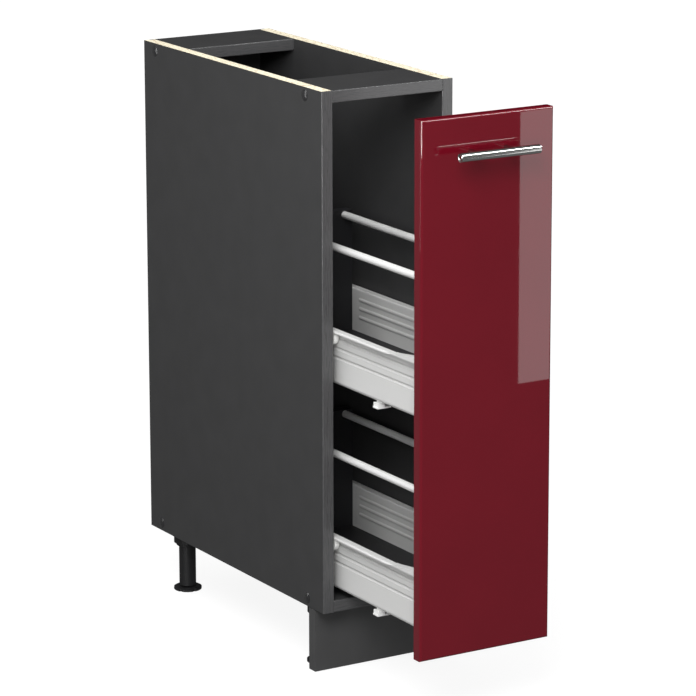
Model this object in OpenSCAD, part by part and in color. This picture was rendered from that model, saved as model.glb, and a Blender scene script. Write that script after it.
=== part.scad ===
// Narrow base cabinet with a pull-out pantry: a red front carries two steel-sided
// drawers with railings, which run on rollers between the side panels.
// Millimetres. The front faces -Y, and the origin is on the floor under the middle.

/* [Cabinet] */
// Outer width of the cabinet
body_w = 200; // [180:1:400]
// Height of the box without its legs
body_h = 704; // [640:1:860]
// Outer depth of the box
body_d = 485; // [475:1:620]
// Thickness of the coated boards
board_t = 16; // [15:0.5:19]
// Thickness of the back panel
back_t = 3; // [2.5:0.5:5]
// Width of the rebate that takes the back panel
rebate_w = 8; // [5:0.5:11]
// Depth of the two top rails, front to back
rail_d = 96; // [80:1:130]
// Thickness of the edge strips on the front edges
strip_t = 2; // [1.5:0.1:3]
// Radius of the strips' long edges
strip_r = 1; // [0.4:0.1:1.5]

/* [Cabinet screws] */
// Distance of the front screws from the box front
screw_y_front = 44; // [25:1:50]
// Distance of the rear screws from the box back
screw_y_rear = 31; // [20:1:38]
// Distance of the screw line from the box top and bottom
screw_level = 11; // [8:0.5:11.5]
// Length of a connecting screw
screw_l = 50; // [40:1:60]
// Shank diameter of a connecting screw in the side
screw_d = 7; // [6:0.5:8]
// Threaded diameter of a connecting screw in the board end
screw_core_d = 5; // [4:0.5:5.5]
// Head diameter of a connecting screw
screw_head_d = 9.6; // [8.5:0.1:11]
// Diameter of a cover cap
cap_d = 16; // [13:0.5:18]
// Height of a cover cap's dome
cap_h = 1.5; // [1:0.1:2.5]

/* [Legs and plinth] */
// Height of the box above the floor
leg_h = 88; // [80:1:110]
// Distance of the leg axes from the outer sides
leg_x_in = 32.5; // [30:0.5:45]
// Distance of the front leg axes from the box front
leg_y_front = 61; // [60:0.5:90]
// Distance of the rear leg axes from the box back
leg_y_rear = 47.5; // [42:0.5:80]
// Diameter of the leg tube
leg_d = 24; // [22:0.5:28]
// Diameter of a leg's head
leg_head_d = 38; // [34:0.5:42]
// Height of a leg's head
leg_head_h = 18; // [10:0.5:24]
// Diameter of the neck between a leg's head and its tube
leg_neck_d = 31; // [29:0.5:33]
// Diameter of the spigot that plugs a leg into the bottom
spigot_d = 10; // [8:0.5:12]
// Diameter of a foot disc
foot_d = 40; // [34:0.5:40]
// Thickness of a foot disc
foot_t = 5; // [4:0.5:7]
// Diameter of a foot's stem
stem_d = 14; // [10:0.5:16]
// Number of wrench notches in a foot disc
foot_notches = 6; // [4:1:8]
// Thickness of the plinth board
plinth_t = 16; // [12:0.5:16]
// Gap between the plinth and the floor
plinth_floor_gap = 1; // [1:0.5:10]
// Distance of the plinth from the box front
plinth_in = 23; // [10:0.5:23]
// Gap between the plinth and the box bottom
plinth_gap = 1; // [1:0.5:6]

/* [Door and handle] */
// Thickness of the front panel
door_t = 16; // [15:0.5:22]
// Gap between the front panel's edge and the box side
door_side_gap = 1.5; // [1:0.5:3]
// Step of the front panel above the box bottom
door_low_gap = 1.5; // [0.5:0.5:4]
// Step of the front panel below the box top
door_top_gap = 0.5; // [0.5:0.5:4]
// Rounding of the front panel's visible edges
door_r = 3; // [1:0.5:5]
// Distance of the handle bar below the front panel's top
handle_drop = 46; // [30:1:120]
// Length of the handle bar
bar_l = 118; // [90:1:150]
// Diameter of the handle bar
bar_d = 12; // [9:0.5:14]
// Distance from the front panel to the bar's axis
bar_out = 27; // [22:0.5:35]
// Distance between the two handle posts
post_gap = 53; // [40:1:80]
// Diameter of a handle post
post_d = 8; // [7:0.5:9]

/* [Pull-out] */
// How far the pull-out stands open as drawn
open_rest = 222; // [20:1:300]
// Gap between the closed front and the box
shut_gap = 2; // [1.8:0.1:4]
// Height of the lower drawer above the bottom panel
tier_low = 10.5; // [10:0.5:24]
// Height step from the lower drawer to the upper one
tier_step = 281.5; // [230:0.5:300]
// Length of a drawer side
drawer_l = 446; // [400:1:446]
// Height of a drawer side
side_h = 77; // [75:0.5:90]
// Sheet thickness of a drawer side
sheet_t = 1.2; // [1:0.1:1.5]
// Extra height of a drawer side at the front panel
rise_h = 10; // [4:0.5:16]
// Length of the rising stretch behind the front panel
rise_l = 83; // [60:1:110]
// Width of the track along a drawer side's top
track_w = 10.6; // [10.4:0.1:10.9]
// Depth of the lip on the track's outer edge
lip_h = 3; // [2.4:0.1:3.4]
// Width of the flange that carries the drawer bottom
shelf_w = 14; // [12:0.5:20]
// Outer radius of the bend below a drawer side
bend_r = 6; // [4:0.5:6]
// Height of the lowest pressed bead
bead_low = 38; // [35:0.5:40]
// Height step between the pressed beads
bead_step = 12.4; // [9:0.1:13]
// Number of pressed beads
bead_count = 3; // [1:1:3]
// Width of a pressed bead
bead_w = 5; // [3:0.5:7]
// Depth of a pressed bead
bead_depth = 1.2; // [0.4:0.1:1.5]
// Thickness of the drawer bottoms and drawer backs
drawer_board_t = 16; // [15:0.5:18]
// Height of a drawer back's top above the drawer side's lower edge
back_top = 186; // [150:1:200]
// Diameter of a railing rod
rod_d = 10; // [8:0.5:12]
// Height of the rods' axes above the drawer side's lower edge
rod_z = 180; // [120:0.5:180.5]
// Distance of the rods' axes from the outer sides
rod_x_in = 42; // [38:0.5:70]

/* [Runners] */
// Room for a runner between box side and drawer side
run_gap = 12.5; // [12.3:0.1:13]
// Length of a cabinet runner
run_l = 450; // [400:1:460]
// Distance of a runner's front end from the box front
run_in = 3; // [2:0.5:8]
// Diameter of a roller
roller_d = 19; // [16:0.5:19]
// Width of a roller
roller_w = 6.6; // [5:0.1:6.6]
// Diameter of a roller's pin
pin_d = 5; // [4:0.5:6]
// Depth of the rear rollers' axes below the drawer side's top
rear_roller_drop = 15.5; // [15.5:0.5:17]
// Distance of the front rollers' axes from the box front
front_roller_y = 13; // [12.5:0.5:20]
// Farthest opening of the pull-out
open_max = 347; // [300:1:360]

/* [Hidden] */

// Sides of the cabinet and its two drawer levels
left = -1;
right = 1;
lower = 0;
upper = 1;

// Clearances
hole_play = 0.1;
blind_play = 0.5;
run_play = 0.05;
roll_play = 0.3;
board_play = 0.3;

// Colours
board_grey = "#3d3d40";
strip_grey = "#5c5c60";
dark_grey = "#26262a";
drawer_white = "#d6d6d4";
clip_white = "#f4f4f2";
door_red = "#6f1a24";
leg_black = "#151517";
steel = "#b9bcbd";
clear_white = "#e8e8e8";

// Box and its connecting screws
half_w = body_w / 2;
in_half = half_w - board_t;
board_end = body_d - back_t;
back_half = in_half + rebate_w;
strip_round = min(strip_r, strip_t / 2);
screw_head_t = 3.2;
screw_socket_d = 4.4;
screw_socket_deep = 2.6;
cap_stem_d = 3.4;
dome_r = (pow(cap_d / 2, 2) + pow(cap_h, 2)) / (2 * cap_h);
dome_angle = asin(cap_d / 2 / dome_r);
dome_steps = 8;

// Whole model: the box front lies at y = frame_y
front_reach = open_rest + door_t + bar_out + bar_d / 2;
frame_y = (front_reach - body_d) / 2;

// Legs and plinth
leg_x = half_w - leg_x_in;
leg_y_back = body_d - leg_y_rear;
leg_neck_h = 4;
spigot_l = 12;
foot_lift = 1.5;
stem_l = 46;
tube_floor = 12;
plinth_back = plinth_in + plinth_t;
clip_ring_t = 3;
clip_ring_h = 20;
clip_ring_z = -leg_h / 2;
clip_plate_w = 40;
clip_plate_t = 3;
clip_grip = 0.2;
clip_neck_w = 10;
leg_edge = 0.6;

// Wood screws, all alike
wood_d = 3.5;
wood_l = 14;
wood_head_d = 7;
wood_head_h = 2;
wood_cross_l = 3.8;
wood_cross_deep = 1.3;
cross_w = 1;

// Front panel and handle
door_half = half_w - door_side_gap;
door_z0 = door_low_gap;
door_z1 = body_h - door_top_gap;
bar_y = -door_t - bar_out;
bar_z = door_z1 - handle_drop;
bar_ring = 0.8;
post_screw_d = 4;
post_screw_deep = 14;
post_head_d = 8;
post_head_h = 2.6;
post_cross_l = 4.6;
post_cross_deep = 1.7;
buffer_d = 8;
buffer_t = shut_gap - 0.2;
buffer_in = 40;

// Drawers, measured from the front panel's back face and the side's lower edge
wall_x = in_half - run_gap;
wall_in = wall_x - sheet_t;
fold_r = 2;
rear_plain = drawer_board_t + 19;
front_plain = 18;
lip_taper = 15;
rim_r = 60;
rim_slope = asin(rim_r / norm([rise_l, rim_r - rise_h])) - atan((rim_r - rise_h) / rise_l);
rim_steps = 6;
rim_window = 16;
bead_r = (pow(bead_w, 2) / 4 + pow(bead_depth, 2)) / (2 * bead_depth);
bead_x = wall_x + bead_r - bead_depth;
drawer_half = wall_in - board_play;
base_z1 = sheet_t + drawer_board_t;
back_y1 = drawer_l - sheet_t;
back_y0 = back_y1 - drawer_board_t;
base_chamfer = bend_r - 1;
tab_w = 14;
tab_top = side_h - 6;
tab_screw_x = wall_x - 9;
tab_screws = [32, 60];
roller_in = 12;

// Runners: distances g are measured inwards from the box side's inner face
web_t = 1.2;
channel_w = 11;
roller_g1 = 11;
roller_g0 = roller_g1 - roller_w;
roller_edge = 0.8;
roller_rim = 2;
rear_roller_y = drawer_l - roller_in;
rear_roller_z = side_h - rear_roller_drop;
pin_head_t = 0.7;
pin_head_gap = 0.1;
collar_d = pin_d + 3;
collar_gap = 0.1;
front_roller_z = side_h - sheet_t - roll_play - roller_d / 2;
channel_low = rear_roller_z - roller_d / 2 - roll_play;
channel_high = rear_roller_z + roller_d / 2 + 0.5;
channel_y0 = front_roller_y + roller_d / 2 + 2;
stop_y = rear_roller_y - open_max - roller_d / 2 - web_t - 0.3;
stop_h = 7;
run_screw_y = [37, 261, run_l - 29];

// Railing rods
rod_x = half_w - rod_x_in;
rod_wall = 1.5;
rod_plug_l = 24;
rod_screw_d = 4;
rod_screw_l = 32;
peg_d = rod_d - 2 * rod_wall - 2 * hole_play;
peg_deep = 11;
peg_l = 26;

// White clips below the drawer sides
clip_y = 131;
clip_l = 12.4;
clip_w = 20;
clip_drop = 9.4;
clip_plate = 2.2;
clip_block_w = 11;
clip_block_top = -2.2;
clip_peg_d = 4;
clip_peg_l = 7;
clip_peg_x = wall_x - (bend_r + clip_block_w) / 2;

// Moves a piece from the box's own frame into place
module in_cabinet() {
    translate([0, frame_y, leg_h]) children();
}

// Moves a piece that belongs to the pull-out into place
module on_pullout() {
    translate([0, frame_y - open_rest, leg_h]) children();
}

// Moves a piece of a drawer into place on its level
module on_tier(level) {
    on_pullout() translate([0, 0, tier_z(level)]) children();
}

// Draws a right-hand piece on the wanted side
module on_side(side) {
    mirror([side == left ? 1 : 0, 0, 0]) children();
}

// Height of a drawer level above the box bottom
function tier_z(level) = board_t + tier_low + level * tier_step;

// Extrudes an outline drawn in x and z along y
module along_y(y0, y1) {
    translate([0, y1, 0]) rotate([90, 0, 0]) linear_extrude(y1 - y0) children();
}

// Extrudes an outline drawn in y and z along x
module along_x(x0, x1) {
    translate([x0, 0, 0]) rotate([90, 0, 90]) linear_extrude(x1 - x0) children();
}

// Extrudes an outline drawn in x and y along z
module along_z(z0, z1) {
    translate([0, 0, z0]) linear_extrude(z1 - z0) children();
}

// Cylinder along x, from x0 to x1
module round_x(d, x0, x1) {
    translate([x0, 0, 0]) rotate([0, 90, 0]) cylinder(d = d, h = x1 - x0, $fn = 64);
}

// Cylinder along y, from y0 to y1
module round_y(d, y0, y1) {
    translate([0, y1, 0]) rotate([90, 0, 0]) cylinder(d = d, h = y1 - y0, $fn = 64);
}

// Box between two corners
module block(a, b) {
    translate(a) cube(b - a);
}

// Quarter of a bent sheet: r is its outer radius, q its quadrant from +x towards +z
module bend(x, z, r, q, t) {
    translate([x, z]) rotate(90 * q) difference() {
        intersection() {
            circle(r = r, $fn = 96);
            square(r);
        }
        circle(r = r - t, $fn = 96);
    }
}

// Cabinet boards

module screw_spots() {
    for (y = [screw_y_front, body_d - screw_y_rear], z = [screw_level, body_h - screw_level])
        translate([0, y, z]) children();
}

// Bore for a connecting screw: wide in the side panel, narrow in the board's end
module screw_bore() {
    round_x(screw_d + 2 * hole_play, in_half - 1, half_w);
    round_x(screw_head_d + 2 * hole_play, half_w - screw_head_t - 2 * hole_play, half_w + 1);
    round_x(screw_core_d + 2 * hole_play, half_w - screw_l - blind_play, in_half + 1);
}

// Bore for a wood screw, open on the head's side
module wood_bore() {
    translate([0, 0, -wood_l - blind_play])
        cylinder(d = wood_d + 2 * hole_play, h = wood_l + blind_play + 1, $fn = 32);
}

module side_panel() {
    difference() {
        block([in_half, strip_t, 0], [half_w, body_d, body_h]);
        block([in_half - 1, board_end, -1], [back_half, body_d + 1, body_h + 1]);
        screw_spots() screw_bore();
        runner_screw_spots() wood_bore();
    }
}

module side_left() {
    color(board_grey) in_cabinet() on_side(left) side_panel();
}

module side_right() {
    color(board_grey) in_cabinet() on_side(right) side_panel();
}

module both_sides() {
    for (side = [left, right]) on_side(side) children();
}

module bottom_panel() {
    color(board_grey) in_cabinet() difference() {
        block([-in_half, strip_t, 0], [in_half, board_end, board_t]);
        both_sides() screw_spots() screw_bore();
        leg_spots() translate([0, 0, -1])
            cylinder(d = spigot_d + 2 * hole_play, h = spigot_l + blind_play + 1, $fn = 48);
    }
}

module top_rail(y0) {
    difference() {
        block([-in_half, y0 + strip_t, body_h - board_t], [in_half, y0 + rail_d, body_h]);
        both_sides() screw_spots() screw_bore();
    }
}

module front_top_rail() {
    color(board_grey) in_cabinet() top_rail(0);
}

module rear_top_rail() {
    color(board_grey) in_cabinet() top_rail(board_end - rail_d);
}

module back_panel() {
    color(dark_grey) in_cabinet() block([-back_half, board_end, 0], [back_half, body_d, body_h]);
}

// Edge strip outline: flat against the board at y = strip_t, long edges rounded in front
module strip_outline(w) {
    translate([0, strip_round]) square([w, strip_t - strip_round]);
    translate([strip_round, 0]) square([w - 2 * strip_round, strip_t]);
    for (x = [strip_round, w - strip_round]) translate([x, strip_round]) circle(r = strip_round, $fn = 32);
}

// Strip lying across the cabinet, its outline turned to run along x
module cross_strip(y, z) {
    translate([-in_half, y, z]) rotate([0, 90, 0]) mirror([1, 0, 0])
        linear_extrude(2 * in_half) strip_outline(board_t);
}

module side_edge_strips() {
    color(strip_grey) in_cabinet() both_sides()
        translate([in_half, 0, 0]) linear_extrude(body_h) strip_outline(board_t);
}

module cross_edge_strips() {
    color(strip_grey) in_cabinet() {
        cross_strip(0, 0);
        cross_strip(0, body_h - board_t);
        cross_strip(board_end - rail_d, body_h - board_t);
    }
}

// Connecting screw along x with its head at the outer face
module carcass_screw() {
    difference() {
        union() {
            round_x(screw_head_d, half_w - screw_head_t, half_w);
            round_x(screw_d, in_half + 1, half_w - 1);
            round_x(screw_core_d, half_w - screw_l, in_half + 2);
        }
        translate([half_w - screw_socket_deep, 0, 0]) rotate([0, 90, 0])
            cylinder(d = screw_socket_d, h = screw_socket_deep + 1, $fn = 6);
    }
}

module carcass_screws() {
    color(steel) in_cabinet() both_sides() screw_spots() carcass_screw();
}

// Domed cap with a stem that plugs into the screw's socket
module cover_cap() {
    translate([half_w, 0, 0]) rotate([0, 90, 0]) {
        rotate_extrude($fn = 64) polygon(concat([[0, 0]], [
            for (i = [dome_steps:-1:0]) let (a = dome_angle * i / dome_steps)
                [dome_r * sin(a), cap_h - dome_r * (1 - cos(a))]
        ]));
        translate([0, 0, -screw_socket_deep + blind_play])
            cylinder(d = cap_stem_d, h = screw_socket_deep, $fn = 32);
    }
}

module cover_caps() {
    color(dark_grey) in_cabinet() both_sides() screw_spots() cover_cap();
}

// Legs, feet and plinth

module leg_spots() {
    for (side = [left, right], y = [leg_y_front, leg_y_back])
        translate([side * leg_x, y, 0]) children();
}

// Leg body: a head with a spigot on top, a neck, and a tube with a bore for the foot
module leg(side, y) {
    tube_z = -leg_h + foot_t + foot_lift;
    color(leg_black) in_cabinet() translate([side * leg_x, y, 0]) difference() {
        rotate_extrude($fn = 96) polygon([
            [0, tube_z], [leg_d / 2 - leg_edge, tube_z], [leg_d / 2, tube_z + leg_edge],
            [leg_d / 2, -leg_head_h - leg_neck_h], [leg_neck_d / 2 - leg_edge, -leg_head_h - leg_neck_h],
            [leg_neck_d / 2, -leg_head_h - leg_neck_h + leg_edge], [leg_neck_d / 2, -leg_head_h],
            [leg_head_d / 2 - leg_edge, -leg_head_h], [leg_head_d / 2, -leg_head_h + leg_edge],
            [leg_head_d / 2, 0], [spigot_d / 2, 0],
            [spigot_d / 2, spigot_l - 1], [spigot_d / 2 - 1, spigot_l], [0, spigot_l]
        ]);
        translate([0, 0, tube_z - 1])
            cylinder(d = stem_d + 2 * run_play, h = leg_h - foot_t - foot_lift - tube_floor + 1, $fn = 64);
    }
}

module leg_front_left() leg(left, leg_y_front);
module leg_front_right() leg(right, leg_y_front);
module leg_rear_left() leg(left, leg_y_back);
module leg_rear_right() leg(right, leg_y_back);

// Height-adjusting foot: a notched disc on a stem that screws into the leg
module foot(side, y) {
    color(leg_black) in_cabinet() translate([side * leg_x, y, -leg_h]) {
        difference() {
            rotate_extrude($fn = 96) polygon([
                [0, 0], [foot_d / 2 - leg_edge, 0], [foot_d / 2, leg_edge], [foot_d / 2, foot_t - 1.6],
                [foot_d / 2 - 3, foot_t], [0, foot_t]
            ]);
            for (i = [0:foot_notches - 1]) rotate(i * 360 / foot_notches + 30)
                translate([foot_d / 2 + 0.5, 0, -1]) cylinder(d = 5, h = foot_t + 2, $fn = 32);
        }
        translate([0, 0, foot_t - 1]) cylinder(d = stem_d, h = stem_l + 1, $fn = 64);
    }
}

module foot_front_left() foot(left, leg_y_front);
module foot_front_right() foot(right, leg_y_front);
module foot_rear_left() foot(left, leg_y_back);
module foot_rear_right() foot(right, leg_y_back);

module plinth_screw_spots() {
    for (side = [left, right], s = [-1, 1])
        translate([side * leg_x + s * (clip_plate_w / 2 - 5), plinth_back + clip_plate_t, clip_ring_z])
            rotate([-90, 0, 0]) children();
}

module plinth() {
    color(board_grey) in_cabinet() difference() {
        block([-half_w, plinth_in, plinth_floor_gap - leg_h], [half_w, plinth_back, -plinth_gap]);
        plinth_screw_spots() wood_bore();
    }
}

// Snap ring on a plate: holds the plinth to a front leg and opens to the rear
module plinth_clip() {
    ring_r = leg_d / 2 + clip_grip;
    difference() {
        union() {
            translate([0, leg_y_front, 0]) cylinder(r = ring_r + clip_ring_t, h = clip_ring_h, $fn = 64);
            block([-clip_neck_w / 2, plinth_back + 1, 0],
                  [clip_neck_w / 2, leg_y_front - ring_r - 1, clip_ring_h]);
            block([-clip_plate_w / 2, plinth_back, 0],
                  [clip_plate_w / 2, plinth_back + clip_plate_t, clip_ring_h]);
        }
        translate([0, leg_y_front, -1]) cylinder(r = ring_r, h = clip_ring_h + 2, $fn = 64);
        translate([0, leg_y_front, -1]) linear_extrude(clip_ring_h + 2)
            polygon([[0, 0], [leg_d, leg_d], [-leg_d, leg_d]]);
    }
}

module plinth_clips() {
    color(leg_black) in_cabinet() difference() {
        for (side = [left, right])
            translate([side * leg_x, 0, clip_ring_z - clip_ring_h / 2]) plinth_clip();
        plinth_screw_spots() wood_bore();
    }
}

// Cross recess, sunk into a head whose top is at z = 0
module cross_recess(l, deep) {
    for (a = [0, 90]) rotate(a) block([-l / 2, -cross_w / 2, -deep], [l / 2, cross_w / 2, 1]);
}

// Pan-head wood screw, its head on top of z = 0
module wood_screw() {
    difference() {
        union() {
            cylinder(d = wood_head_d, h = wood_head_h * 0.5, $fn = 32);
            translate([0, 0, wood_head_h * 0.5])
                cylinder(d1 = wood_head_d, d2 = wood_head_d - 2, h = wood_head_h * 0.5, $fn = 32);
            translate([0, 0, -wood_l]) cylinder(d = wood_d, h = wood_l + 0.5, $fn = 32);
        }
        translate([0, 0, wood_head_h]) cross_recess(wood_cross_l, wood_cross_deep);
    }
}

// Pan head of a machine screw along y, its cross recess facing the rear
module screw_head_y(y) {
    difference() {
        round_y(post_head_d, y, y + post_head_h);
        translate([0, y + post_head_h, 0]) rotate([-90, 0, 0]) cross_recess(post_cross_l, post_cross_deep);
    }
}

// Cabinet runners and their front rollers

module runner_screw_spots() {
    for (level = [lower, upper], y = run_screw_y)
        translate([in_half - web_t, y, tier_z(level) + rear_roller_z]) rotate([0, -90, 0]) children();
}

module cabinet_wood_screws() {
    color(steel) in_cabinet() {
        both_sides() runner_screw_spots() wood_screw();
        plinth_screw_spots() wood_screw();
    }
}

// Outline of the channel: a web on the box side and two flanges pointing inwards
module channel_outline() {
    z0 = channel_low - web_t;
    z1 = channel_high + web_t;
    translate([in_half - web_t, z0 + fold_r]) square([web_t, z1 - z0 - 2 * fold_r]);
    bend(in_half - fold_r, z0 + fold_r, fold_r, 3, web_t);
    bend(in_half - fold_r, z1 - fold_r, fold_r, 0, web_t);
    for (z = [z0, channel_high]) translate([in_half - channel_w, z]) square([channel_w - fold_r, web_t]);
}

module runner(side, level) {
    color(drawer_white) in_cabinet() on_side(side) translate([0, 0, tier_z(level)]) {
        difference() {
            union() {
                along_y(channel_y0, run_in + run_l) channel_outline();
                block([in_half - web_t, run_in, channel_low + 1],
                      [in_half, channel_y0 + 1, front_roller_z + 6]);
                block([in_half - channel_w, stop_y, channel_low - 0.2],
                      [in_half - web_t, stop_y + web_t, channel_low + stop_h]);
            }
            for (y = run_screw_y) translate([0, y, rear_roller_z])
                round_x(wood_d + 2 * hole_play, in_half - 3, in_half + 1);
            translate([0, front_roller_y, front_roller_z])
                round_x(pin_d + 2 * run_play, in_half - 3, in_half + 1);
        }
    }
}

module runner_upper_left() runner(left, upper);
module runner_upper_right() runner(right, upper);
module runner_lower_left() runner(left, lower);
module runner_lower_right() runner(right, lower);

// Roller with a dished rim, around an axis along x
module roller_body() {
    x0 = in_half - roller_g1;
    x1 = in_half - roller_g0;
    difference() {
        translate([x0, 0, 0]) rotate([0, 90, 0]) rotate_extrude($fn = 96) polygon([
            [0, 0], [roller_d / 2 - roller_edge, 0], [roller_d / 2, roller_edge],
            [roller_d / 2, roller_w - roller_edge], [roller_d / 2 - roller_edge, roller_w], [0, roller_w]
        ]);
        round_x(pin_d + 2 * run_play, x0 - 1, x1 + 1);
        translate([x0, 0, 0]) rotate([0, 90, 0]) rotate_extrude($fn = 96)
            translate([collar_d / 2 + roller_edge, -1])
                square([(roller_d - collar_d) / 2 - roller_rim - roller_edge, 1 + roller_edge]);
    }
}

module front_roller(side, level) {
    color(clip_white) in_cabinet() on_side(side)
        translate([0, front_roller_y, tier_z(level) + front_roller_z]) roller_body();
}

module front_roller_upper_left() front_roller(left, upper);
module front_roller_upper_right() front_roller(right, upper);
module front_roller_lower_left() front_roller(left, lower);
module front_roller_lower_right() front_roller(right, lower);

// Pin from the runner's web through the front roller, riveted on both ends
module front_roller_pins() {
    color(steel) in_cabinet() both_sides() for (level = [lower, upper])
        translate([0, front_roller_y, tier_z(level) + front_roller_z]) {
            round_x(pin_d, in_half - roller_g1 - pin_head_gap - pin_head_t, in_half);
            round_x(collar_d, in_half - roller_g0 + collar_gap, in_half - web_t);
            round_x(collar_d, in_half - roller_g1 - pin_head_gap - pin_head_t,
                  in_half - roller_g1 - pin_head_gap);
        }
}

// Front panel and handle

// Outline across the panel with its two front corners rounded
module door_outline(a0, a1) {
    translate([a0, door_r - door_t]) square([a1 - a0, door_t - door_r]);
    translate([a0 + door_r, -door_t]) square([a1 - a0 - 2 * door_r, door_t]);
    for (a = [a0 + door_r, a1 - door_r]) translate([a, door_r - door_t]) circle(r = door_r, $fn = 64);
}

module handle_spots() {
    for (s = [-1, 1]) translate([s * post_gap / 2, 0, bar_z]) children();
}

module door_panel() {
    color(door_red) on_pullout() difference() {
        intersection() {
            along_z(door_z0, door_z1) door_outline(-door_half, door_half);
            translate([-door_half - 1, 0, 0]) rotate([0, 90, 0]) mirror([1, 0, 0])
                linear_extrude(2 * door_half + 2) door_outline(door_z0, door_z1);
        }
        handle_spots() round_y(post_screw_d + 0.6, -door_t - 1, 1);
        for (level = [lower, upper]) translate([0, 0, tier_z(level)]) {
            both_sides() front_screw_spots() wood_bore();
            rod_spots() round_y(peg_d + 2 * hole_play, -peg_deep - blind_play, 1);
        }
    }
}

// Round bar whose end caps have a ring groove and a raised button
module handle_bar() {
    r = bar_d / 2;
    color(steel) on_pullout() translate([-bar_l / 2, bar_y, bar_z]) rotate([0, 90, 0])
        rotate_extrude($fn = 96) polygon([
            [0, 0.4], [r * 0.4, 0.6], [r * 0.55, 1.6], [r - bar_ring, 1.6],
            [r - bar_ring, 0.3], [r - 0.4, 0], [r, 0.5],
            [r, bar_l - 0.5], [r - 0.4, bar_l], [r - bar_ring, bar_l - 0.3],
            [r - bar_ring, bar_l - 1.6], [r * 0.55, bar_l - 1.6],
            [r * 0.4, bar_l - 0.6], [0, bar_l - 0.4]
        ]);
}

// Posts from the front panel to the bar, hollowed to the bar's curve
module handle_posts() {
    color(steel) on_pullout() difference() {
        handle_spots() round_y(post_d, bar_y, -door_t);
        translate([0, bar_y, bar_z]) round_x(bar_d + 0.1, -bar_l / 2, bar_l / 2);
        handle_spots() round_y(post_screw_d + 2 * hole_play, -door_t - post_screw_deep, 1);
    }
}

module handle_screws() {
    color(steel) on_pullout() handle_spots() {
        round_y(post_screw_d, 1 - door_t - post_screw_deep, 0.5);
        screw_head_y(0);
    }
}

// Soft dots on the front panel's back, which meet the box's front edges when shut
module door_buffers() {
    color(clear_white) on_pullout() both_sides() for (z = [door_z0 + buffer_in, door_z1 - buffer_in])
        translate([half_w - board_t / 2, 0, z]) round_y(buffer_d, 0, buffer_t);
}

// Drawer sides

// Outline of the lower flange, its bend and the wall up to z
module wall_outline(z) {
    translate([wall_x - shelf_w, 0]) square([shelf_w - bend_r, sheet_t]);
    bend(wall_x - bend_r, bend_r, bend_r, 3, sheet_t);
    translate([wall_in, bend_r]) square([sheet_t, z - bend_r]);
}

// Outline of the track: a bend out of the wall, a flat and a lip pointing down
module track_outline() {
    z = side_h - fold_r;
    bend(wall_in + fold_r, z, fold_r, 1, sheet_t);
    translate([wall_in + fold_r, side_h - sheet_t]) square([track_w + sheet_t - 2 * fold_r, sheet_t]);
    bend(wall_x + track_w - fold_r, z, fold_r, 0, sheet_t);
    translate([wall_x + track_w - sheet_t, side_h - lip_h]) square([sheet_t, lip_h - fold_r]);
}

// Side view of what lies below the rim's rising stretch, t under its top face
module under_rim(t) {
    r = rim_r + t;
    polygon(concat(
        [[0, -1], [rise_l, -1]],
        [for (i = [0:rim_steps]) let (a = rim_slope * i / rim_steps)
            [rise_l - r * sin(a), side_h + rim_r - r * cos(a)]],
        [[0, side_h + rise_h - t / cos(rim_slope)]]
    ));
}

// Rod with round ends, from which a bead's groove and its ridge are cut
module bead_rod(r) {
    y0 = front_plain + bead_w / 2;
    y1 = drawer_l - rear_plain - bead_w / 2;
    for (i = [0:bead_count - 1]) translate([bead_x, 0, bead_low + i * bead_step]) {
        round_y(2 * r, y0, y1);
        for (y = [y0, y1]) translate([0, y, 0]) sphere(r = r, $fn = 64);
    }
}

// One sheet: a wall with pressed beads, a flange below, a track on top and tabs at both ends
module drawer_side(side, level) {
    color(drawer_white) on_tier(level) on_side(side) difference() {
        union() {
            along_y(0, drawer_l) wall_outline(side_h - fold_r);
            along_x(wall_in, wall_x) intersection() {
                under_rim(0);
                translate([0, side_h / 2]) square([rise_l, side_h]);
            }
            along_x(wall_in, wall_x + track_w) difference() {
                under_rim(0);
                under_rim(sheet_t);
            }
            block([wall_in, 0, side_h - sheet_t], [wall_x + track_w, rise_l + 1, side_h]);
            along_x(wall_x + track_w - sheet_t, wall_x + track_w) intersection() {
                under_rim(0);
                translate([rim_window, side_h - sheet_t]) square([rise_l - rim_window, sheet_t + rise_h]);
            }
            along_y(rise_l, drawer_l) track_outline();
            for (y = [0, back_y1])
                block([wall_x - tab_w, y, sheet_t / 2], [wall_x - sheet_t / 2, y + sheet_t, tab_top]);
            intersection() {
                bead_rod(bead_r + sheet_t);
                block([wall_in - bead_depth - 1, 0, 0], [wall_x - sheet_t / 2, drawer_l, tab_top]);
            }
        }
        bead_rod(bead_r);
        along_x(wall_x + 1, wall_x + track_w + 1) polygon([
            [rise_l - 1, side_h - sheet_t], [rise_l, side_h - sheet_t],
            [rise_l + lip_taper, side_h - lip_h], [rise_l + lip_taper, side_h - lip_h - 1],
            [rise_l - 1, side_h - lip_h - 1]
        ]);
        translate([0, rear_roller_y, rear_roller_z]) round_x(pin_d + 2 * run_play, wall_in - 2, wall_x + 1);
        for (y = [-1, back_y1 - 1], z = tab_screws) translate([tab_screw_x, 0, z])
            round_y(wood_d + 2 * hole_play, y, y + sheet_t + 2);
        clip_peg_spot() translate([0, 0, -1]) cylinder(d = clip_peg_d + 2 * hole_play, h = 4, $fn = 48);
    }
}

module drawer_side_upper_left() drawer_side(left, upper);
module drawer_side_upper_right() drawer_side(right, upper);
module drawer_side_lower_left() drawer_side(left, lower);
module drawer_side_lower_right() drawer_side(right, lower);

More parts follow.
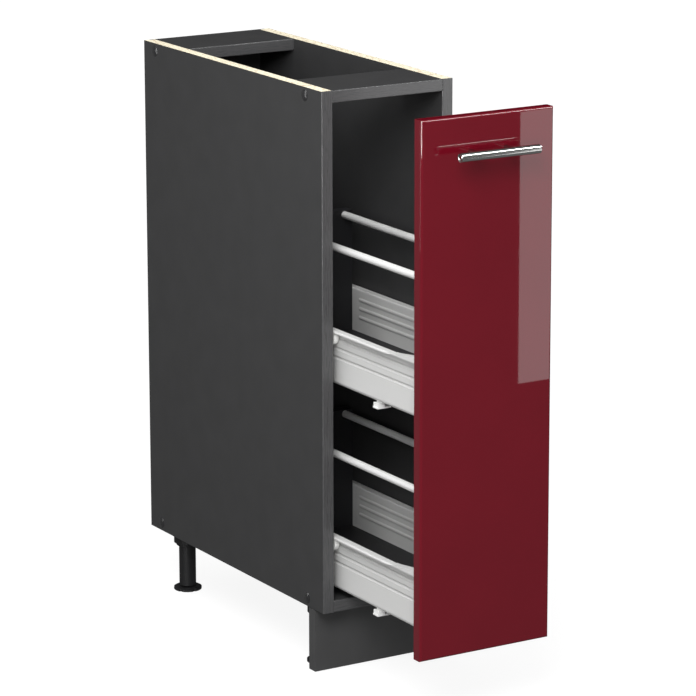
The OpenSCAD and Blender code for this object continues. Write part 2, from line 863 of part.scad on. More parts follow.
// Pins through the drawer sides that carry the rear rollers
module rear_roller_pins() {
    color(steel) both_sides() for (level = [lower, upper])
        on_tier(level) translate([0, rear_roller_y, rear_roller_z]) {
            round_x(pin_d, wall_in, in_half - roller_g0 + pin_head_gap + pin_head_t);
            round_x(collar_d, wall_x, in_half - roller_g1 - collar_gap);
            round_x(collar_d, in_half - roller_g0 + pin_head_gap,
                  in_half - roller_g0 + pin_head_gap + pin_head_t);
        }
}

module rear_roller(side, level) {
    color(clip_white) on_tier(level) on_side(side)
        translate([0, rear_roller_y, rear_roller_z]) roller_body();
}

module rear_roller_upper_left() rear_roller(left, upper);
module rear_roller_upper_right() rear_roller(right, upper);
module rear_roller_lower_left() rear_roller(left, lower);
module rear_roller_lower_right() rear_roller(right, lower);

// Drawer bottoms and backs

module clip_peg_spot() {
    translate([clip_peg_x, clip_y + clip_l / 2, 0]) children();
}

module drawer_base(level) {
    color(dark_grey) on_tier(level) difference() {
        along_y(sheet_t, back_y1) polygon([
            [-drawer_half, base_z1], [-drawer_half, sheet_t + base_chamfer],
            [-drawer_half + base_chamfer, sheet_t], [drawer_half - base_chamfer, sheet_t],
            [drawer_half, sheet_t + base_chamfer], [drawer_half, base_z1]
        ]);
        both_sides() clip_peg_spot() cylinder(d = clip_peg_d + 2 * hole_play, h = clip_peg_l + 1, $fn = 48);
    }
}

module drawer_base_upper() drawer_base(upper);
module drawer_base_lower() drawer_base(lower);

module front_screw_spots() {
    for (z = tab_screws) translate([tab_screw_x, sheet_t, z]) rotate([-90, 0, 0]) children();
}

module rear_screw_spots() {
    for (z = tab_screws) translate([tab_screw_x, drawer_l, z]) rotate([-90, 0, 0]) children();
}

module rod_spots() {
    for (side = [left, right]) translate([side * rod_x, 0, rod_z]) children();
}

module drawer_back(level) {
    color(dark_grey) on_tier(level) difference() {
        block([-drawer_half, back_y0, base_z1], [drawer_half, back_y1, back_top]);
        both_sides() rear_screw_spots() wood_bore();
        rod_spots() round_y(rod_screw_d + 2 * hole_play, back_y0 - 1, back_y1 + 1);
    }
}

module drawer_back_upper() drawer_back(upper);
module drawer_back_lower() drawer_back(lower);

// Railing rod: a tube from the front panel to the drawer back, closed by a plug behind
module rod(side, level) {
    color(drawer_white) on_tier(level) translate([side * rod_x, 0, rod_z]) difference() {
        round_y(rod_d, 0, back_y0);
        round_y(rod_d - 2 * rod_wall, -1, back_y0 - rod_plug_l);
        round_y(rod_screw_d + 2 * hole_play, back_y0 - rod_plug_l - 1, back_y0 + 1);
    }
}

module rod_upper_left() rod(left, upper);
module rod_upper_right() rod(right, upper);
module rod_lower_left() rod(left, lower);
module rod_lower_right() rod(right, lower);

// Pegs in the front panel that carry the rods' front ends
module rod_pegs() {
    color(clip_white) for (level = [lower, upper])
        on_tier(level) rod_spots() round_y(peg_d, -peg_deep, peg_l - peg_deep);
}

module rod_screws() {
    color(steel) for (level = [lower, upper]) on_tier(level) rod_spots() {
        round_y(rod_screw_d, back_y1 - rod_screw_l, back_y1 + 0.5);
        screw_head_y(back_y1);
    }
}

// Screws through the sides' tabs into the front panel and the drawer backs
module drawer_wood_screws() {
    color(steel) for (level = [lower, upper]) on_tier(level) both_sides() {
        front_screw_spots() wood_screw();
        rear_screw_spots() wood_screw();
    }
}

// White clips that lock the drawer bottoms to the sides' lower flanges
module bottom_clips() {
    color(clip_white) for (level = [lower, upper]) on_tier(level) both_sides() {
        block([wall_x - clip_w, clip_y, -clip_drop], [wall_x, clip_y + clip_l, clip_plate - clip_drop]);
        block([wall_x - clip_block_w, clip_y, -clip_drop], [wall_x - 1, clip_y + clip_l, clip_block_top]);
        block([wall_x - clip_block_w, clip_y, clip_block_top - 0.2], [wall_x - bend_r, clip_y + clip_l, 0]);
        clip_peg_spot() translate([0, 0, -1]) cylinder(d = clip_peg_d, h = clip_peg_l + 1, $fn = 48);
    }
}

side_left();
side_right();
bottom_panel();
front_top_rail();
rear_top_rail();
back_panel();
side_edge_strips();
cross_edge_strips();
carcass_screws();
cover_caps();
leg_front_left();
leg_front_right();
leg_rear_left();
leg_rear_right();
foot_front_left();
foot_front_right();
foot_rear_left();
foot_rear_right();
plinth();
plinth_clips();
runner_upper_left();
runner_upper_right();
runner_lower_left();
runner_lower_right();
front_roller_pins();
cabinet_wood_screws();
front_roller_upper_left();
front_roller_upper_right();
front_roller_lower_left();
front_roller_lower_right();
door_panel();
handle_bar();
handle_posts();
handle_screws();
door_buffers();
drawer_side_upper_left();
drawer_side_upper_right();
drawer_side_lower_left();
drawer_side_lower_right();
drawer_base_upper();
drawer_base_lower();
drawer_back_upper();
drawer_back_lower();
rod_upper_left();
rod_upper_right();
rod_lower_left();
rod_lower_right();
rod_pegs();
bottom_clips();
rear_roller_pins();
rear_roller_upper_left();
rear_roller_upper_right();
rear_roller_lower_left();
rear_roller_lower_right();
drawer_wood_screws();
rod_screws();
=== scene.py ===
"""Narrow pull-out pantry cabinet: finishes and studio around the packed part."""

import math

import bmesh
import bpy
from bpy.props import FloatProperty, FloatVectorProperty, PointerProperty
from mathutils import Matrix, Vector


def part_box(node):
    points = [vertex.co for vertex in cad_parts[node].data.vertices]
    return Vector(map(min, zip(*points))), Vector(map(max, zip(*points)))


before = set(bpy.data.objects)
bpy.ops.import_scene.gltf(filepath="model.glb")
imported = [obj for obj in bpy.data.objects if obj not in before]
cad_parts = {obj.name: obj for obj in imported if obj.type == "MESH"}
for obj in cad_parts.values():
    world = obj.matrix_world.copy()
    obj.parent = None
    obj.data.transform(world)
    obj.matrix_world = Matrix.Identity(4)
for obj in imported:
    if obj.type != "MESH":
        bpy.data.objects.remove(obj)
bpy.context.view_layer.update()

bl_info = {
    "name": "Pull-out pantry cabinet",
    "version": (1, 0, 0),
    "blender": (4, 5, 0),
    "location": "3D View > Sidebar > Pantry",
    "description": "Finishes and studio of a narrow pull-out pantry cabinet",
    "category": "Object",
}


# Names in the frame

LEVELS = ("upper", "lower")
SIDES = ("left", "right")
ENDS = ("front", "rear")

# Boards with raw faces: the axis through the board, and the ends where it was sawn.
SAWN_ENDS = {
    "side_left": ("X", (("Z", "high"), ("Z", "low"), ("Y", "high"))),
    "side_right": ("X", (("Z", "high"), ("Z", "low"), ("Y", "high"))),
    "bottom_panel": ("Z", (("Y", "high"),)),
}


# Details of the surfaces, in metres

SKIN = 0.00002  # a face this near to the end of a board is its sawn face
COATING = 0.0003  # thickness of the coating, as it shows beside a sawn face
EASED_EDGE = 0.0004  # rounding of the edges of boards and coated steel
STRIP_EDGE = 0.001  # rounding of the edge strips
CREASE_SHADE_REACH = 0.005  # how far from a fold the AO node reaches, for the painted shade in the powder coat's creases


# Values of Blender's nodes

NOISE_SPAN = (0.3, 0.7)  # where most values of a noise lie
MIX_A, MIX_B = 6, 7  # inputs of a Mix node for colours
MIX_RESULT = 2  # output of a Mix node for colours
WHITE = (1, 1, 1, 1)
BLACK = (0, 0, 0, 1)


# Studio, in metres and degrees

FLOOR_RADIUS = 16
GLOW_STARTS = 0.9  # distance from the middle where the floor's glow begins to change
GLOW_ENDS = 3.5  # distance where the floor has become as white as the background
FAR_FLOOR_LIGHT = 0.2  # share of its colour that the far floor shows beside the glow
ROOM_RADIUS = 5.0  # the room of dark cards that only reflections show
ROOM_HEIGHT = 5.0
CLOTH_GAP = 0.0005  # the room's dark cloth lies this far over the floor
ROUND_SEGMENTS = 48
CAMERA_PLACE = (-2.487, -4.134, 1.622)
CAMERA_TIP = 13.48  # down from level
CAMERA_TURN = -31.62  # about the vertical, from straight ahead
CAMERA_SHIFT = -0.0503  # both sideways and upwards, as a share of the picture


# Settings


def length(name, description, default):
    """A size in metres."""
    return FloatProperty(
        name=name, description=description, default=default, unit="LENGTH", precision=4
    )


def share(name, description, default):
    """A plain number from 0 to 1."""
    return FloatProperty(
        name=name, description=description, default=default, min=0, max=1, subtype="FACTOR"
    )


def colour(name, description, default):
    """A linear colour."""
    return FloatVectorProperty(
        name=name, description=description, default=default, min=0, max=1, size=3, subtype="COLOR"
    )


def power(name, description, default):
    """The power of a lamp."""
    return FloatProperty(name=name, description=description, default=default, unit="POWER")


def brightness(name, description, default):
    """The brightness of a card or of the surroundings, where 1 is white."""
    return FloatProperty(name=name, description=description, default=default, min=0)


class BoardSettings(bpy.types.PropertyGroup):
    """Coated chipboard of the box and the drawers."""

    face: colour("Box face", "Coated faces of the box", (0.0435, 0.0435, 0.0445))
    # Painted light: the plinth has the box's decor, made lighter because it lies in shade under
    # the box.
    plinth: colour("Plinth", "Coated faces of the plinth", (0.066, 0.066, 0.067))
    # Painted light: the back panel has the box's decor, made lighter to stand in for light the
    # deep interior doesn't get.
    back: colour("Back panel", "Coated faces of the back panel", (0.072, 0.072, 0.074))
    edging: colour("Edging", "Plastic strips on the front edges", (0.08, 0.08, 0.082))
    drawer: colour("Drawer board", "Faces of drawer bottoms and backs", (0.022, 0.022, 0.024))
    chip: colour("Chipboard", "Raw chipboard on the sawn edges", (0.95, 0.88, 0.69))
    chip_dark: colour("Dark chips", "Darker chips in the raw edges", (0.8, 0.66, 0.47))
    chip_size: length("Chip size", "Width of a chip in the raw edges", 0.0022)


class SteelSettings(bpy.types.PropertyGroup):
    """Coated and bare steel."""

    side: colour("Drawer steel", "Coating of drawer sides and runners", (0.74, 0.74, 0.73))
    rod: colour("Railing", "Coating of the railing rods", (0.8, 0.8, 0.79))
    zinc: colour("Zinc", "Screws and pins", (0.55, 0.56, 0.57))


class PlasticSettings(bpy.types.PropertyGroup):
    """Moulded plastic pieces."""

    cap: colour("Cover caps", "Caps over the box's screws", (0.02, 0.02, 0.021))
    leg: colour("Legs", "Legs, feet and plinth clips", (0.012, 0.012, 0.013))
    roller: colour("Rollers", "Rollers of the runners", (0.88, 0.88, 0.86))
    clip: colour("Clips", "Clips and pegs of the drawers", (0.92, 0.92, 0.91))
    buffer: colour("Buffers", "Soft dots behind the front panel", (0.75, 0.75, 0.75))


class FrontSettings(bpy.types.PropertyGroup):
    """Front panel and handle."""

    lacquer: colour("Lacquer", "Gloss lacquer of the front panel", (0.151, 0.0037, 0.0116))
    gloss: share("Gloss roughness", "Roughness of the lacquer", 0.012)
    steel: colour("Handle", "Brushed steel of the handle", (0.47, 0.47, 0.46))


class StudioSettings(bpy.types.PropertyGroup):
    """Floor, lamps, cards and camera."""

    floor: colour("Floor", "Colour of the floor", (0.2, 0.2, 0.2))
    floor_glow: brightness("Floor glow", "White added to the floor as it is seen", 0.875)
    ambient: brightness("Ambient", "Light from all around", 0.52)
    key: power("Key lamp", "Lamp at the front left", 57)
    fill: power("Fill lamp", "Low lamp that reaches into the box", 13)
    top: power("Top lamp", "Lamp above", 26)
    flag: brightness("Flags", "Dark cards that gloss and steel reflect", 0.2)
    window: brightness("Window", "Card whose band shows in the lacquer", 2.6)
    strip: brightness("Strip", "Narrow card that the front edges reflect", 45)
    side_strip: brightness("Side strip", "Narrow card that the caps reflect", 9)
    sky: brightness("Ceiling", "Ceiling that the handle reflects", 0.2)
    skylight: brightness("Skylight", "Card of the streak along the handle", 50)
    focal: FloatProperty(
        name="Focal length", description="Lens of the camera", default=191.07, unit="CAMERA"
    )


SETTINGS = {
    "pantry_boards": BoardSettings,
    "pantry_steel": SteelSettings,
    "pantry_plastics": PlasticSettings,
    "pantry_front": FrontSettings,
    "pantry_studio": StudioSettings,
}


# Finishes


def shade(base, factor):
    """A colour made lighter or darker."""
    return tuple(min(1, c * factor) for c in base)


def drawn_out(axis, scale):
    """Scales of a pattern that is drawn out along one axis."""
    return [scale if name == axis else 1 for name in "XYZ"]


class Finish:
    """A principled material and the nodes that shape its surface, in Object coordinates.

    Sockets are given by name, with _ for each blank.
    """

    def __init__(self, name, base, roughness, **sockets):
        self.material = bpy.data.materials.new(name)
        self.material.use_nodes = True
        self.tree = self.material.node_tree
        self.shader = self.tree.nodes["Principled BSDF"]
        self.place = self.new("ShaderNodeTexCoord").outputs["Object"]
        self.put("Base Color", base)
        self.put("Roughness", roughness)
        for socket, value in sockets.items():
            self.put(socket.replace("_", " "), value)

    def new(self, kind, **values):
        """Adds a node and sets its values."""
        node = self.tree.nodes.new(kind)
        for name, value in values.items():
            setattr(node, name, value)
        return node

    def fill(self, socket, value):
        """Links an output to the socket, or sets a plain value."""
        if isinstance(value, bpy.types.NodeSocket):
            self.tree.links.new(value, socket)
        elif socket.type == "RGBA" and len(value) == 3:
            socket.default_value = (*value, 1)
        else:
            socket.default_value = value

    def put(self, name, value):
        """Fills a socket of the shader."""
        self.fill(self.shader.inputs[name], value)

    def stretched(self, stretch):
        """The place on the object, scaled along each axis."""
        if stretch is None:
            return self.place
        mapping = self.new("ShaderNodeMapping")
        self.fill(mapping.inputs["Scale"], stretch)
        self.fill(mapping.inputs["Vector"], self.place)
        return mapping.outputs["Vector"]

    def noise(self, size, detail=2, stretch=None):
        """Soft noise whose lumps are size metres wide."""
        node = self.new("ShaderNodeTexNoise")
        self.fill(node.inputs["Vector"], self.stretched(stretch))
        self.fill(node.inputs["Scale"], 1 / size)
        self.fill(node.inputs["Detail"], detail)
        return node.outputs["Fac"]

    def cells(self, size, stretch=None):
        """Cells size metres wide: how far from a cell's middle, and a value for each cell."""
        node = self.new("ShaderNodeTexVoronoi")
        self.fill(node.inputs["Vector"], self.stretched(stretch))
        self.fill(node.inputs["Scale"], 1 / size)
        return node.outputs["Distance"], node.outputs["Color"]

    def spread(self, value, low, high, start=0, end=1):
        """Maps low..high of a value to start..end."""
        node = self.new("ShaderNodeMapRange")
        self.fill(node.inputs["Value"], value)
        self.fill(node.inputs["From Min"], low)
        self.fill(node.inputs["From Max"], high)
        self.fill(node.inputs["To Min"], start)
        self.fill(node.inputs["To Max"], end)
        return node.outputs["Result"]

    def varied(self, noise, start, end):
        """A value that varies from start to end, as the noise does."""
        return self.spread(noise, *NOISE_SPAN, start, end)

    def tone(self, noise, base, darker, lighter, span=NOISE_SPAN):
        """The base colour, darker or lighter as the noise varies over its span."""
        return self.mix(self.spread(noise, *span), shade(base, darker), shade(base, lighter))

    def math(self, operation, a, b=0.0):
        """The result of a Math node."""
        node = self.new("ShaderNodeMath", operation=operation)
        self.fill(node.inputs[0], a)
        self.fill(node.inputs[1], b)
        return node.outputs["Value"]

    def mix(self, factor, a, b):
        """Colour a where factor is 0, and b where it is 1."""
        node = self.new("ShaderNodeMix", data_type="RGBA")
        self.fill(node.inputs[0], factor)
        self.fill(node.inputs[MIX_A], a)
        self.fill(node.inputs[MIX_B], b)
        return node.outputs[MIX_RESULT]

    def axis(self, name):
        """One coordinate of the place on the object."""
        node = self.new("ShaderNodeSeparateXYZ")
        self.fill(node.inputs[0], self.place)
        return node.outputs[name]

    def relief(self, height, depth, strength, rounding=0.0):
        """Raises the surface by height times depth, in metres, and softens its edges."""
        node = self.new("ShaderNodeBump")
        if rounding:
            soft = self.new("ShaderNodeBevel", samples=6)
            self.fill(soft.inputs["Radius"], rounding)
            self.fill(node.inputs["Normal"], soft.outputs["Normal"])
        self.fill(node.inputs["Strength"], strength)
        self.fill(node.inputs["Distance"], depth)
        self.fill(node.inputs["Height"], height)
        self.put("Normal", node.outputs["Normal"])


def coated_board(name, base):
    """Melamine coating: a fine pearl grain and a faint cloudiness."""
    finish = Finish(name, base, roughness=0.5, Specular_IOR_Level=0.22)
    pearl = finish.noise(size=0.0009, detail=3)
    cloud = finish.noise(size=0.035)
    finish.put("Base Color", finish.tone(cloud, base, darker=0.95, lighter=1.06))
    finish.put("Roughness", finish.varied(pearl, 0.45, 0.57))
    finish.relief(pearl, depth=0.00004, strength=0.6, rounding=EASED_EDGE)
    return finish


def chipboard(finish, boards):
    """Colour of raw chipboard: chips of several tones, fine pale ones, and dark gaps."""
    size = boards.chip_size
    from_middle, value = finish.cells(size, drawn_out("Y", 0.45))
    tones = finish.spread(value, 0.15, 0.9)
    fine_chips = finish.spread(finish.noise(size / 4, detail=3), 0.35, 0.75)
    gaps = finish.spread(from_middle, 0.55, 0.8)
    chips = finish.mix(tones, boards.chip_dark, boards.chip)
    chips = finish.mix(fine_chips, chips, shade(boards.chip, 1.15))
    return finish.mix(gaps, chips, shade(boards.chip_dark, 0.8))


def from_end(finish, node, axis, end):
    """How far a place on the node is from one end of the node's box, in metres."""
    corner = dict(zip(("low", "high"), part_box(node)))[end]
    away = finish.math("SUBTRACT", finish.axis(axis), getattr(corner, axis.lower()))
    return finish.math("ABSOLUTE", away)


def sawn_mask(finish, node):
    """1 on the node's sawn faces, between the coatings on both sides, and 0 elsewhere."""
    through, ends = SAWN_ENDS[node]
    mask = 0.0
    for axis, end in ends:
        sawn = finish.math("LESS_THAN", from_end(finish, node, axis, end), SKIN)
        mask = finish.math("MAXIMUM", mask, sawn)
    for end in ("low", "high"):
        within = finish.math("GREATER_THAN", from_end(finish, node, through, end), COATING)
        mask = finish.math("MULTIPLY", mask, within)
    return mask


def sawn_board(name, boards, node):
    """Coated board whose sawn faces show raw chipboard."""
    finish = coated_board(name, boards.face)
    coated = finish.shader.inputs["Base Color"].links[0].from_socket
    smooth = finish.shader.inputs["Roughness"].links[0].from_socket
    raw = sawn_mask(finish, node)
    finish.put("Base Color", finish.mix(raw, coated, chipboard(finish, boards)))
    finish.put("Roughness", finish.spread(raw, 0, 1, smooth, 0.85))
    return finish


def edging(name, base, along):
    """Plastic edge strip: satin, with a faint drawn grain along its length."""
    finish = Finish(name, base, roughness=0.3)
    grain = finish.noise(size=0.0006, stretch=drawn_out(along, 0.03))
    finish.put("Roughness", finish.varied(grain, 0.24, 0.34))
    finish.put("Base Color", finish.tone(grain, base, darker=0.985, lighter=1.015))
    finish.relief(grain, depth=0.000006, strength=0.2, rounding=STRIP_EDGE)
    return finish


def powder_coat(name, base, roughness, crease_shade=1.0):
    """Sprayed and baked powder: a fine orange peel, and painted shade that darkens the coat in
    tight creases.
    """
    finish = Finish(name, base, roughness)
    peel = finish.noise(size=0.0014)
    dust = finish.noise(size=0.0003, detail=1)
    finish.put("Roughness", finish.varied(peel, roughness - 0.04, roughness + 0.06))
    coat = finish.tone(dust, base, darker=0.985, lighter=1.015, span=(0.35, 0.65))
    # Painted shade: an AO node darkens the coat's colour in creases and folds, where shade falls.
    if crease_shade < 1:
        crease_occlusion = finish.new("ShaderNodeAmbientOcclusion", samples=8, only_local=True)
        finish.fill(crease_occlusion.inputs["Distance"], CREASE_SHADE_REACH)
        open_face = finish.spread(crease_occlusion.outputs["AO"], 0.55, 0.97)
        coat = finish.mix(open_face, shade(base, crease_shade), coat)
    finish.put("Base Color", coat)
    finish.relief(peel, depth=0.00003, strength=0.5, rounding=EASED_EDGE)
    return finish


def moulded(name, base, roughness, texture=0.00003, **sockets):
    """Moulded plastic with the fine texture of the mould."""
    finish = Finish(name, base, roughness, **sockets)
    sparks = finish.noise(size=0.0005, detail=3)
    flow = finish.noise(size=0.012)
    finish.put("Roughness", finish.varied(sparks, roughness - 0.05, roughness + 0.08))
    finish.put("Base Color", finish.tone(flow, base, darker=0.97, lighter=1.03))
    finish.relief(sparks, depth=texture, strength=0.6)
    return finish


def lacquer(name, base, gloss):
    """High-gloss lacquer with the long waves of a polished coat."""
    finish = Finish(name, base, gloss)
    waves = finish.noise(size=0.03, detail=1)
    depth = finish.noise(size=0.08)
    finish.put("Base Color", finish.tone(depth, base, darker=0.97, lighter=1.03))
    finish.put("Roughness", finish.varied(waves, gloss, gloss + 0.01))
    finish.relief(waves, depth=0.000001, strength=0.4)
    return finish


def brushed_steel(name, base, along):
    """Fine-brushed, almost polished steel with streaks along one axis."""
    finish = Finish(name, base, roughness=0.12, Metallic=1.0)
    streaks = finish.noise(size=0.0002, detail=3, stretch=drawn_out(along, 0.02))
    finish.put("Roughness", finish.varied(streaks, 0.08, 0.17))
    finish.put("Base Color", finish.tone(streaks, base, darker=0.94, lighter=1.06))
    finish.relief(streaks, depth=0.0000015, strength=0.4)
    return finish


def zinc_plating(name, base):
    """Bright zinc on small steel pieces, a little uneven."""
    finish = Finish(name, base, roughness=0.3, Metallic=1.0)
    spots = finish.noise(size=0.0012, detail=3)
    finish.put("Roughness", finish.varied(spots, 0.24, 0.4))
    finish.put("Base Color", finish.tone(spots, base, darker=0.93, lighter=1.06))
    finish.relief(spots, depth=0.00001, strength=0.4)
    return finish


def dress(finish, *names):
    """Gives CAD nodes a finish."""
    for name in names:
        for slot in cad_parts[name].material_slots:
            slot.material = finish.material


def each(pattern):
    """Names of the four pieces, one on each level and side."""
    return [pattern.format(level=level, side=side) for level in LEVELS for side in SIDES]


# Parts of the studio


def aimed(position, target):
    """The matrix of a lamp that stands at a position and shines at a target."""
    turn = (Vector(target) - Vector(position)).to_track_quat("-Z", "Y")
    return Matrix.Translation(position) @ turn.to_matrix().to_4x4()


def softbox(name, energy, position, target, width, height, reflected=True):
    """A large rectangular lamp, which gloss may reflect or not."""
    lamp = bpy.data.lights.new(name, "AREA")
    lamp.shape = "RECTANGLE"
    lamp.size = width
    lamp.size_y = height
    lamp.energy = energy
    holder = bpy.data.objects.new(name, lamp)
    holder.matrix_world = aimed(position, target)
    holder.visible_glossy = reflected
    bpy.context.scene.collection.objects.link(holder)


def disc(radius, height=0.0, segments=ROUND_SEGMENTS):
    """A round card that lies over the middle of the floor."""
    shape = bmesh.new()
    bmesh.ops.create_circle(shape, cap_ends=True, segments=segments, radius=radius)
    bmesh.ops.translate(shape, verts=shape.verts, vec=(0, 0, height))
    return shape


def round_wall(radius, height):
    """A wall all around the object."""
    shape = bmesh.new()
    bmesh.ops.create_cone(
        shape,
        cap_ends=False,
        segments=ROUND_SEGMENTS,
        radius1=radius,
        radius2=radius,
        depth=height,
    )
    bmesh.ops.translate(shape, verts=shape.verts, vec=(0, 0, height / 2))
    return shape


def flat(width, depth, place):
    """A flat card that lies with its middle at a place."""
    shape = bmesh.new()
    bmesh.ops.create_grid(shape, x_segments=1, y_segments=1, size=0.5)
    bmesh.ops.scale(shape, verts=shape.verts, vec=(width, depth, 1))
    bmesh.ops.translate(shape, verts=shape.verts, vec=place)
    return shape


def upright(width, height, bottom, place, turn):
    """A flat card that stands over a place on the floor, turned about the vertical."""
    shape = flat(width, height, (0, 0, 0))
    for axis, degrees in (("X", 90), ("Z", turn)):
        rotation = Matrix.Rotation(math.radians(degrees), 3, axis)
        bmesh.ops.rotate(shape, verts=shape.verts, matrix=rotation)
    bmesh.ops.translate(shape, verts=shape.verts, vec=(*place, bottom + height / 2))
    return shape


def mesh_object(name, shape, finish):
    """An object made of a shape, with a finish."""
    mesh = bpy.data.meshes.new(name)
    shape.to_mesh(mesh)
    shape.free()
    mesh.materials.append(finish.material)
    made = bpy.data.objects.new(name, mesh)
    bpy.context.scene.collection.objects.link(made)
    return made


def add_card(name, shape, glow):
    """A card that only reflections show."""
    finish = Finish(
        name,
        BLACK,
        roughness=1.0,
        Specular_IOR_Level=0.0,
        Emission_Color=WHITE,
        Emission_Strength=glow,
    )
    card = mesh_object(name, shape, finish)
    card.visible_camera = False
    card.visible_diffuse = False
    card.visible_shadow = False
    card.visible_transmission = False
    card.visible_volume_scatter = False


def seen_directly(tree):
    """1 for rays from the camera and in mirrors and glass, and 0 for light on the object."""
    path = tree.nodes.new("ShaderNodeLightPath")
    total = path.outputs["Is Camera Ray"]
    for name in ("Is Glossy Ray", "Is Transmission Ray"):
        join = tree.nodes.new("ShaderNodeMath")
        join.operation = "MAXIMUM"
        tree.links.new(total, join.inputs[0])
        tree.links.new(path.outputs[name], join.inputs[1])
        total = join.outputs["Value"]
    return total


# Operators


class PANTRY_OT_boards(bpy.types.Operator):
    """Finish the coated boards, their raw edges and their edge strips"""

    bl_idname = "pantry.boards"
    bl_label = "Finish the boards"

    def execute(self, context):
        boards = context.scene.pantry_boards
        for node in SAWN_ENDS:
            dress(sawn_board(f"coated_{node}", boards, node), node)
        dress(coated_board("coated_rails", boards.face), "front_top_rail", "rear_top_rail")
        # Painted light: the plinth's colour is lightened to make up for the shade under the box.
        dress(coated_board("coated_plinth", boards.plinth), "plinth")
        # Painted light: the back panel's colour is lightened to make up for shade deep in the
        # box.
        dress(coated_board("coated_back", boards.back), "back_panel")
        dress(
            coated_board("drawer_board", boards.drawer),
            *(f"drawer_{part}_{level}" for part in ("base", "back") for level in LEVELS),
        )
        dress(edging("side_edging", boards.edging, "Z"), "side_edge_strips")
        dress(edging("cross_edging", boards.edging, "X"), "cross_edge_strips")
        return {"FINISHED"}


class PANTRY_OT_steel(bpy.types.Operator):
    """Coat the drawer sides, runners and rods, and plate the screws and pins"""

    bl_idname = "pantry.steel"
    bl_label = "Finish the steel pieces"

    def execute(self, context):
        steel = context.scene.pantry_steel
        # The drawer sides and runners get painted shade in their creases and folds.
        coat = powder_coat("drawer_coating", steel.side, roughness=0.34, crease_shade=0.35)
        dress(coat, *each("drawer_side_{level}_{side}"), *each("runner_{level}_{side}"))
        rod_coat = powder_coat("rod_coating", steel.rod, roughness=0.3)
        dress(rod_coat, *each("rod_{level}_{side}"))
        dress(
            zinc_plating("zinc_plating", steel.zinc),
            "carcass_screws",
            "cabinet_wood_screws",
            "front_roller_pins",
            "rear_roller_pins",
            "handle_screws",
            "drawer_wood_screws",
            "rod_screws",
        )
        return {"FINISHED"}


class PANTRY_OT_plastics(bpy.types.Operator):
    """Finish the moulded plastic pieces"""

    bl_idname = "pantry.plastics"
    bl_label = "Finish the plastic pieces"

    def execute(self, context):
        plastics = context.scene.pantry_plastics
        cap = moulded("cap_plastic", plastics.cap, roughness=0.22, texture=0.00001)
        dress(cap, "cover_caps")
        leg = moulded(
            "leg_plastic", plastics.leg, roughness=0.5, texture=0.00005, Specular_IOR_Level=0.2
        )
        places = [f"{end}_{side}" for end in ENDS for side in SIDES]
        dress(leg, *(f"{part}_{place}" for part in ("leg", "foot") for place in places))
        dress(leg, "plinth_clips")
        roller = moulded("roller_plastic", plastics.roller, roughness=0.35)
        for end in ENDS:
            dress(roller, *each(end + "_roller_{level}_{side}"))
        clip = moulded("clip_plastic", plastics.clip, roughness=0.32)
        dress(clip, "bottom_clips", "rod_pegs")
        rubber = moulded(
            "buffer_rubber", plastics.buffer, roughness=0.25, Transmission_Weight=0.5
        )
        dress(rubber, "door_buffers")
        return {"FINISHED"}


class PANTRY_OT_front(bpy.types.Operator):
    """Finish the front panel and its handle"""

    bl_idname = "pantry.front"
    bl_label = "Finish the front panel"

    def execute(self, context):
        front = context.scene.pantry_front
        dress(lacquer("red_lacquer", front.lacquer, front.gloss), "door_panel")
        dress(brushed_steel("handle_steel", front.steel, along="X"), "handle_bar")
        dress(brushed_steel("post_steel", front.steel, along="Y"), "handle_posts")
        return {"FINISHED"}


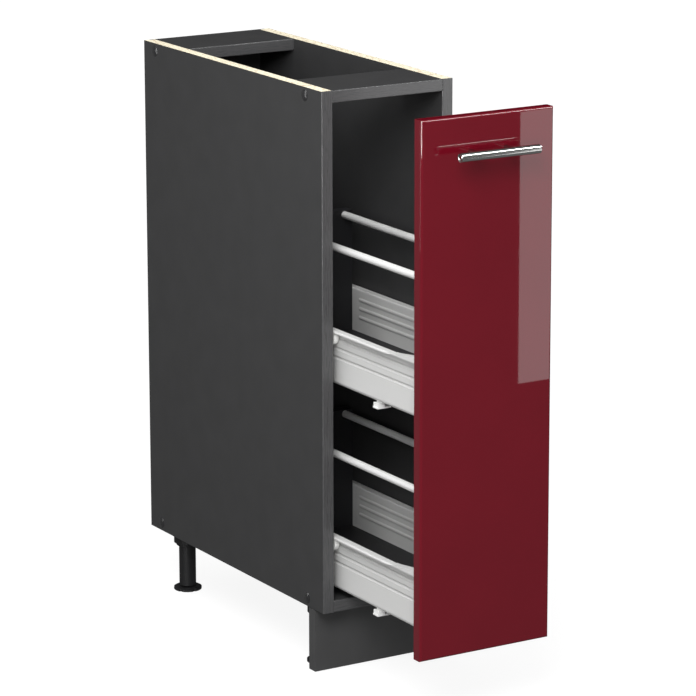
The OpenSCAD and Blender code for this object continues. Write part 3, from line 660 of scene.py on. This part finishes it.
class PANTRY_OT_stage(bpy.types.Operator):
    """Set up the floor, lamps, cards and camera"""

    bl_idname = "pantry.stage"
    bl_label = "Set up the studio"

    def execute(self, context):
        studio = context.scene.pantry_studio
        self.world(studio)
        self.floor(studio)
        self.lamps(studio)
        self.cards(studio)
        self.camera(studio)
        return {"FINISHED"}

    def world(self, studio):
        """White as it is seen, and dimmer as light on the object."""
        world = bpy.data.worlds.new("studio_world")
        bpy.context.scene.world = world
        world.use_nodes = True
        tree = world.node_tree
        around = tree.nodes["Background"]
        around.inputs["Strength"].default_value = studio.ambient
        around.inputs["Color"].default_value = WHITE
        white = tree.nodes.new("ShaderNodeBackground")
        white.inputs["Color"].default_value = WHITE
        mix = tree.nodes.new("ShaderNodeMixShader")
        tree.links.new(seen_directly(tree), mix.inputs[0])
        tree.links.new(around.outputs[0], mix.inputs[1])
        tree.links.new(white.outputs[0], mix.inputs[2])
        tree.links.new(mix.outputs[0], tree.nodes["World Output"].inputs["Surface"])

    def floor(self, studio):
        """A floor that keeps the object's shadow and gets white with distance."""
        finish = Finish(
            "studio_floor",
            studio.floor,
            roughness=0.9,
            Specular_IOR_Level=0.0,
            Emission_Color=WHITE,
        )
        away = finish.new("ShaderNodeVectorMath", operation="LENGTH")
        finish.fill(away.inputs[0], finish.place)
        far_glow = 1 - FAR_FLOOR_LIGHT * studio.floor[0]
        glow = finish.spread(
            away.outputs["Value"], GLOW_STARTS, GLOW_ENDS, studio.floor_glow, far_glow
        )
        seen = seen_directly(finish.tree)
        finish.put("Emission Strength", finish.math("MULTIPLY", seen, glow))
        floor = mesh_object("studio_floor", disc(FLOOR_RADIUS, segments=64), finish)

    def lamps(self, studio):
        """A key lamp at the front left, a low fill lamp and a lamp above."""
        softbox(
            "key_lamp",
            studio.key,
            position=(-1.5, -1.9, 2.2),
            target=(0, -0.2, 0.5),
            width=1.3,
            height=1.3,
        )
        softbox(
            "fill_lamp",
            studio.fill,
            position=(-1.6, -2.5, 0.76),
            target=(0, 0, 0.7),
            width=0.9,
            height=0.6,
            reflected=False,
        )
        softbox(
            "top_lamp",
            studio.top,
            position=(-0.7, -0.4, 2.9),
            target=(0, 0, 0.4),
            width=1.5,
            height=1.5,
            reflected=False,
        )

    def cards(self, studio):
        """Cards for the reflections: a dark room, a window and narrow lights."""
        add_card("floor_cloth", disc(ROOM_RADIUS, CLOTH_GAP), studio.flag)
        add_card("surround", round_wall(ROOM_RADIUS, ROOM_HEIGHT), studio.flag)
        add_card("ceiling", disc(ROOM_RADIUS, ROOM_HEIGHT), studio.sky)
        skylight = flat(width=1.8, depth=0.6, place=(2.9, -2.8, 4.9))
        add_card("skylight", skylight, studio.skylight)
        back_flag = upright(width=8.0, height=2.4, bottom=0.9, place=(2.5, 4.0), turn=-32)
        add_card("back_flag", back_flag, 0.0)
        window = upright(width=1.2, height=0.85, bottom=0.17, place=(1.22, -1.2), turn=0)
        add_card("window", window, studio.window)
        front_strip = upright(
            width=0.5, height=1.475, bottom=0.325, place=(-2.0, -1.35), turn=-56
        )
        add_card("front_strip", front_strip, studio.strip)
        side_strip = upright(
            width=0.22, height=2.2, bottom=0.03, place=(-2.07, 1.48), turn=-125
        )
        add_card("side_strip", side_strip, studio.side_strip)

    def camera(self, studio):
        """The photograph's view."""
        camera = bpy.data.cameras.new("camera")
        camera.lens = studio.focal
        camera.sensor_width = 36
        camera.shift_x = CAMERA_SHIFT
        camera.shift_y = CAMERA_SHIFT
        camera.clip_end = 60
        holder = bpy.data.objects.new("camera", camera)
        holder.location = CAMERA_PLACE
        holder.rotation_euler = (math.radians(90 - CAMERA_TIP), 0, math.radians(CAMERA_TURN))
        bpy.context.scene.collection.objects.link(holder)
        bpy.context.scene.camera = holder
        bpy.context.scene.view_settings.view_transform = "Standard"


OPERATORS = (
    PANTRY_OT_boards,
    PANTRY_OT_steel,
    PANTRY_OT_plastics,
    PANTRY_OT_front,
    PANTRY_OT_stage,
)


# Sidebar and registration


class PANTRY_PT_sidebar(bpy.types.Panel):
    """Settings and steps of the pantry cabinet"""

    bl_idname = "PANTRY_PT_sidebar"
    bl_label = "Pull-out pantry"
    bl_space_type = "VIEW_3D"
    bl_region_type = "UI"
    bl_category = "Pantry"

    def draw(self, context):
        layout = self.layout
        for attribute, group in SETTINGS.items():
            box = layout.box()
            box.label(text=group.__doc__)
            settings = getattr(context.scene, attribute)
            for name in group.__annotations__:
                box.prop(settings, name)
        for operator in OPERATORS:
            layout.operator(operator.bl_idname)


CLASSES = (*SETTINGS.values(), *OPERATORS, PANTRY_PT_sidebar)


def register():
    """Makes the settings, steps and sidebar known to Blender."""
    for cls in CLASSES:
        bpy.utils.register_class(cls)
    for attribute, group in SETTINGS.items():
        setattr(bpy.types.Scene, attribute, PointerProperty(type=group))


def unregister():
    """Takes them away again."""
    for attribute in SETTINGS:
        delattr(bpy.types.Scene, attribute)
    for cls in reversed(CLASSES):
        bpy.utils.unregister_class(cls)


def main():
    """Dresses the part and sets up its studio."""
    register()
    bpy.ops.pantry.boards()
    bpy.ops.pantry.steel()
    bpy.ops.pantry.plastics()
    bpy.ops.pantry.front()
    bpy.ops.pantry.stage()


if __name__ == "__main__":
    main()
